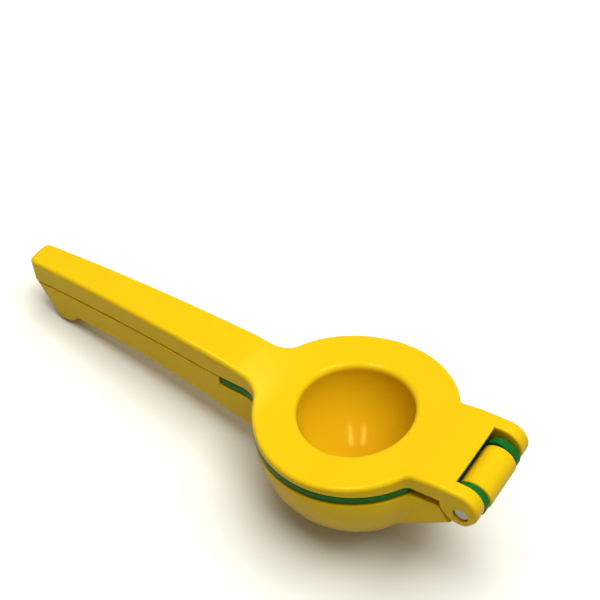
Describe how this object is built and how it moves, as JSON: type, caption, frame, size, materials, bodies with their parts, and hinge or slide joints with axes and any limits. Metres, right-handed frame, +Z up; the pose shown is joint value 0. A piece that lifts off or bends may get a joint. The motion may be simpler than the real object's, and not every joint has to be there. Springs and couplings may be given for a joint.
{
  "type": "hinged citrus squeezer",
  "caption": "Hand lever press with a round dome plate over nested perforated cups, two long handles that close together and one hinge pin.",
  "frame": {"origin": "on the surface that the closed tool lies on, at the middle of its bounding box", "axes": "+Z up, +X from the handles' ends towards the hinge, +Y along the hinge pin"},
  "size_m": [0.205, 0.075, 0.064],
  "materials": {
    "yellow_enamel": "smooth glossy enamel on cast aluminium",
    "green_enamel": "smooth glossy enamel on cast aluminium",
    "steel": "plain turned steel"
  },
  "bodies": {
    "cup": {"lower_cup": "yellow_enamel"},
    "insert": {"lime_insert": "green_enamel"},
    "press": {"press": "yellow_enamel", "hinge_pin": "steel"}
  },
  "joints": [
    {"name": "insert_hinge", "type": "hinge", "parent": "cup", "child": "insert", "pos_m": [0.09593, 0, 0.05442], "axis": [0, 1, 0], "range_deg": [0, 90]},
    {"name": "press_hinge", "type": "hinge", "parent": "insert", "child": "press", "pos_m": [0.09593, 0, 0.05442], "axis": [0, 1, 0], "range_deg": [0, 90]}
  ]
}
